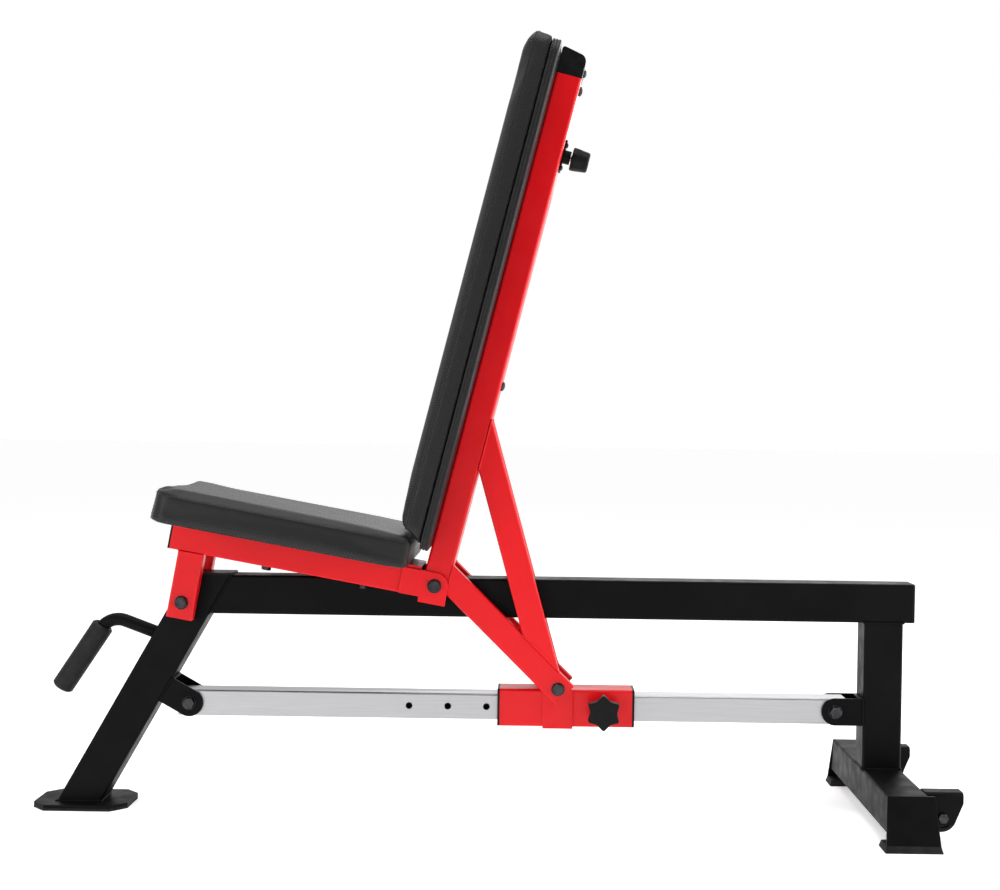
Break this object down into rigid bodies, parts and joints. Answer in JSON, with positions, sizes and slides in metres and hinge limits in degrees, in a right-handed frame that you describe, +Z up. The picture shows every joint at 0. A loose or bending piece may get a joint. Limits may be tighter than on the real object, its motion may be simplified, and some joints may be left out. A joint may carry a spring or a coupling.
{
  "type": "adjustable weight bench",
  "caption": "Adjustable weight bench: tilting seat and reclining backrest on a welded frame, propped by struts from a pinned sleeve that slides on a lower rail.",
  "frame": {"origin": "centre of the bounding box at floor level", "axes": "+X from the seat end to the backrest and wheel end, +Y to the bench's right side, +Z up"},
  "size_m": [1.396, 0.4202, 1.1868],
  "materials": {
    "black_frame": "semi-gloss fine-textured black powder coat",
    "red_frame": "gloss red powder coat",
    "rail_aluminium": "satin anodised aluminium with fine drawn lines",
    "black_plastic": "matt moulded black plastic",
    "foot_rubber": "matt black rubber",
    "grip_foam": "soft black grip sleeve",
    "cushion_vinyl": "black vinyl with a fine woven carbon grain",
    "panel_wood": "plywood wrapped in black vinyl",
    "black_fasteners": "black oxide steel",
    "steel": "turned bright steel"
  },
  "bodies": {
    "base": {"front_foot_pad": "foot_rubber", "front_foot_plate": "black_frame", "front_leg": "black_frame", "leg_top_cap": "black_plastic", "leg_pivot_bush": "steel", "pivot_washers": "black_plastic", "main_beam": "black_frame", "beam_end_cap": "black_plastic", "rear_post": "black_frame", "rear_foot_bar": "black_frame", "foot_bar_end_plates": "black_frame", "rear_foot_pads": "foot_rubber", "guide_rail": "rail_aluminium", "rail_plugs": "black_plastic", "front_clevis": "black_frame", "rear_clevis": "black_frame", "rail_bolts": "black_fasteners", "rail_nuts": "black_fasteners", "carry_handle": "black_frame", "handle_grip": "grip_foam", "wheel_brackets": "black_frame", "wheel_axles": "black_fasteners"},
    "seat": {"seat_rail_left": "red_frame", "seat_rail_right": "red_frame", "seat_rail_caps": "black_plastic", "seat_lugs": "red_frame", "seat_ears": "red_frame", "hinge_bushes": "steel", "seat_cross_plates": "red_frame", "seat_pivot_bolt": "black_fasteners", "seat_pivot_nut": "black_fasteners", "seat_board": "panel_wood", "seat_cushion": "cushion_vinyl", "seat_bolts": "black_fasteners"},
    "backrest": {"back_spine": "red_frame", "spine_cheeks": "red_frame", "spine_top_cap": "black_plastic", "cap_screw": "black_fasteners", "back_board": "panel_wood", "back_cushion": "cushion_vinyl", "back_bolts": "black_fasteners", "lower_strut_left": "red_frame", "lower_strut_right": "red_frame", "upper_strut_left": "red_frame", "upper_strut_right": "red_frame", "hinge_bolts": "black_fasteners", "lever_bolts": "black_fasteners", "stow_pin_housing": "black_frame", "stow_pin_screws": "black_fasteners"},
    "stow_pin": {"stow_pin": "steel", "stow_pin_knob": "black_plastic"},
    "sleeve": {"slider_sleeve": "red_frame", "sleeve_liners": "black_plastic", "lever_saddle": "red_frame", "sleeve_pin_housing": "black_plastic"},
    "sleeve_pin": {"sleeve_pin": "steel"},
    "sleeve_knob": {"sleeve_pin_knob": "black_plastic"},
    "wheel_left": {"wheel_left": "black_plastic"},
    "wheel_right": {"wheel_right": "black_plastic"}
  },
  "joints": [
    {"name": "backrest_recline", "type": "hinge", "parent": "seat", "child": "backrest", "pos_m": [-0.082, 0, 0.353], "axis": [0, 1, 0], "range_deg": [0, 84.45]},
    {"name": "seat_tilt", "type": "hinge", "parent": "base", "child": "seat", "pos_m": [-0.46871, 0, 0.32168], "axis": [0, 1, 0], "range_deg": [-10.66, 0]},
    {"name": "sleeve_slide", "type": "slide", "parent": "base", "child": "sleeve", "axis": [-1, 0, 0], "range_m": [0, 0.3005]},
    {"name": "sleeve_pin_pull", "type": "slide", "parent": "sleeve", "child": "sleeve_pin", "axis": [0, -1, 0], "range_m": [0, 0.012], "stiffness_N_per_m": 700, "springref_m": -0.006},
    {"name": "sleeve_knob_turn", "type": "hinge", "parent": "sleeve_pin", "child": "sleeve_knob", "pos_m": [0.179, -0.054, 0.1635], "axis": [0, 1, 0], "continuous": true},
    {"name": "stow_pin_pull", "type": "slide", "parent": "backrest", "child": "stow_pin", "axis": [0.9705, 0, -0.2411], "range_m": [0, 0.01], "stiffness_N_per_m": 700, "springref_m": -0.006},
    {"name": "wheel_left_spin", "type": "hinge", "parent": "base", "child": "wheel_left", "pos_m": [0.6677, -0.148, 0.0394], "axis": [0, 1, 0], "continuous": true},
    {"name": "wheel_right_spin", "type": "hinge", "parent": "base", "child": "wheel_right", "pos_m": [0.6677, 0.148, 0.0394], "axis": [0, 1, 0], "continuous": true}
  ],
  "couplings": [
    {"joint": "seat_tilt", "follows": "backrest_recline", "ratio": -0.1261},
    {"joint": "sleeve_slide", "follows": "backrest_recline", "m_per_rad": 0.2035}
  ]
}
